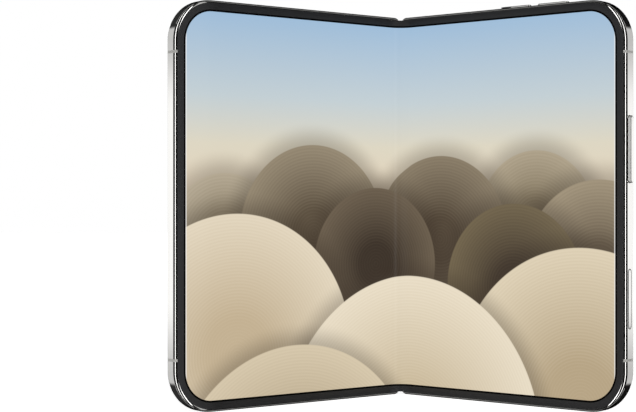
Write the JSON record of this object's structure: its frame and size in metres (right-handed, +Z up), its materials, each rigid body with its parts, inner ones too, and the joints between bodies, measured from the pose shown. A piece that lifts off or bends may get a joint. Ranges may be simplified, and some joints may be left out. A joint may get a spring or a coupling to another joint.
{
  "type": "foldable smartphone",
  "caption": "Book-style foldable smartphone standing half open, with a bending inner screen, hidden geared hinge, raised pill camera plateau and side keys.",
  "frame": {"origin": "bottom centre of the bounding box of the phone as it stands half open on its lower edges", "axes": "+Z up, along both fold axes; +X to the right as the inner screen is seen; +Y away from the viewer of the inner screen, so that the spine points to +Y"},
  "size_m": [0.1348, 0.055, 0.1211],
  "materials": {
    "polished_frame": "mirror polished, pale",
    "antenna_polymer": "polished flush",
    "hinge_steel": "machined",
    "gear_steel": "machined",
    "bronze": "satin",
    "plate_aluminium": "satin",
    "folding_screen": "satin film over the lit picture",
    "screen_border": "matte",
    "pearl_glass": "satin, pearl white, backed with paint",
    "lens_ring_steel": "polished with a bright bevel",
    "lens_glass": "polished, near black",
    "flash_diffuser": "frosted",
    "circuit_board": "solder resist",
    "shield_steel": "pressed sheet",
    "battery_pouch": "satin",
    "coil_copper": "enamelled wire",
    "magnet_nickel": "nickel plated",
    "flex_circuit": "film",
    "dark_polymer": "moulded",
    "cover_glass": "polished black glass, screen off",
    "cover_panel": "satin"
  },
  "bodies": {
    "spine": {"spine_cover": "polished_frame", "spine_end_caps": "dark_polymer", "hinge_base_upper": "hinge_steel", "hinge_base_middle": "hinge_steel", "hinge_base_lower": "hinge_steel", "pinion_axles": "gear_steel", "friction_washers": "bronze", "screen_flex": "folding_screen", "bezel_flex_caps": "screen_border"},
    "right_half": {"right_frame": "polished_frame", "right_antenna_bands": "antenna_polymer", "right_hinge_rail": "polished_frame", "right_hinge_arms": "hinge_steel", "right_sync_arm": "gear_steel", "right_hinge_screws": "gear_steel", "right_midplate": "plate_aluminium", "right_screen_panel": "folding_screen", "right_bezel": "screen_border", "rear_glass": "pearl_glass", "camera_plateau": "pearl_glass", "main_lens_ring": "lens_ring_steel", "main_lens_glass": "lens_glass", "wide_lens_ring": "lens_ring_steel", "wide_lens_glass": "lens_glass", "main_camera_module": "dark_polymer", "wide_camera_module": "dark_polymer", "flash_lens": "flash_diffuser", "logic_board": "circuit_board", "shield_cans": "shield_steel", "right_battery": "battery_pouch", "charging_coil": "coil_copper", "magnet_ring": "magnet_nickel", "usb_port": "shield_steel", "usb_tongue": "dark_polymer", "loudspeaker": "dark_polymer", "vibration_motor": "shield_steel", "key_switches": "flex_circuit"},
    "left_half": {"left_frame": "polished_frame", "left_antenna_bands": "antenna_polymer", "left_hinge_rail": "polished_frame", "left_hinge_arms": "hinge_steel", "left_sync_arm": "gear_steel", "left_hinge_screws": "gear_steel", "left_midplate": "plate_aluminium", "left_screen_panel": "folding_screen", "left_bezel": "screen_border", "cover_glass": "cover_glass", "cover_display": "cover_panel", "cover_camera": "lens_glass", "earpiece": "dark_polymer", "left_battery": "battery_pouch", "left_board": "circuit_board"},
    "pinion_right": {"sync_pinion_right": "gear_steel"},
    "pinion_left": {"sync_pinion_left": "gear_steel"},
    "power": {"power_key": "polished_frame"},
    "shutter": {"shutter_key": "polished_frame"},
    "volume_up": {"volume_up_key": "polished_frame"},
    "volume_down": {"volume_down_key": "polished_frame"}
  },
  "joints": [
    {"name": "right_fold", "type": "hinge", "parent": "spine", "child": "right_half", "pos_m": [0.0005, 0.02393, 0], "axis": [0, 0, -1], "range_deg": [-38.7, 51.3], "deforming": ["screen_flex", "bezel_flex_caps"]},
    {"name": "left_fold", "type": "hinge", "parent": "spine", "child": "left_half", "pos_m": [-0.0005, 0.02393, 0], "axis": [0, 0, 1], "range_deg": [-38.7, 51.3]},
    {"name": "pinion_right_spin", "type": "hinge", "parent": "spine", "child": "pinion_right", "pos_m": [0.00072, 0.02554, 0.0603], "axis": [0, 0, -1], "range_deg": [-125.78, 166.72]},
    {"name": "pinion_left_spin", "type": "hinge", "parent": "spine", "child": "pinion_left", "pos_m": [-0.00072, 0.02554, 0.0603], "axis": [0, 0, 1], "range_deg": [-125.78, 166.72]},
    {"name": "power_press", "type": "slide", "parent": "right_half", "child": "power", "axis": [-0.7804, 0.6252, 0], "range_m": [0, 0.0002], "stiffness_N_per_m": 600, "springref_m": -0.0008},
    {"name": "shutter_press", "type": "slide", "parent": "right_half", "child": "shutter", "axis": [-0.7804, 0.6252, 0], "range_m": [0, 0.0002], "stiffness_N_per_m": 600, "springref_m": -0.0008},
    {"name": "volume_up_press", "type": "slide", "parent": "right_half", "child": "volume_up", "axis": [0, 0, -1], "range_m": [0, 0.0002], "stiffness_N_per_m": 600, "springref_m": -0.0008},
    {"name": "volume_down_press", "type": "slide", "parent": "right_half", "child": "volume_down", "axis": [0, 0, -1], "range_m": [0, 0.0002], "stiffness_N_per_m": 600, "springref_m": -0.0008}
  ],
  "couplings": [
    {"joint": "left_fold", "follows": "right_fold", "ratio": 1},
    {"joint": "pinion_right_spin", "follows": "right_fold", "ratio": 3.25},
    {"joint": "pinion_left_spin", "follows": "right_fold", "ratio": 3.25}
  ]
}
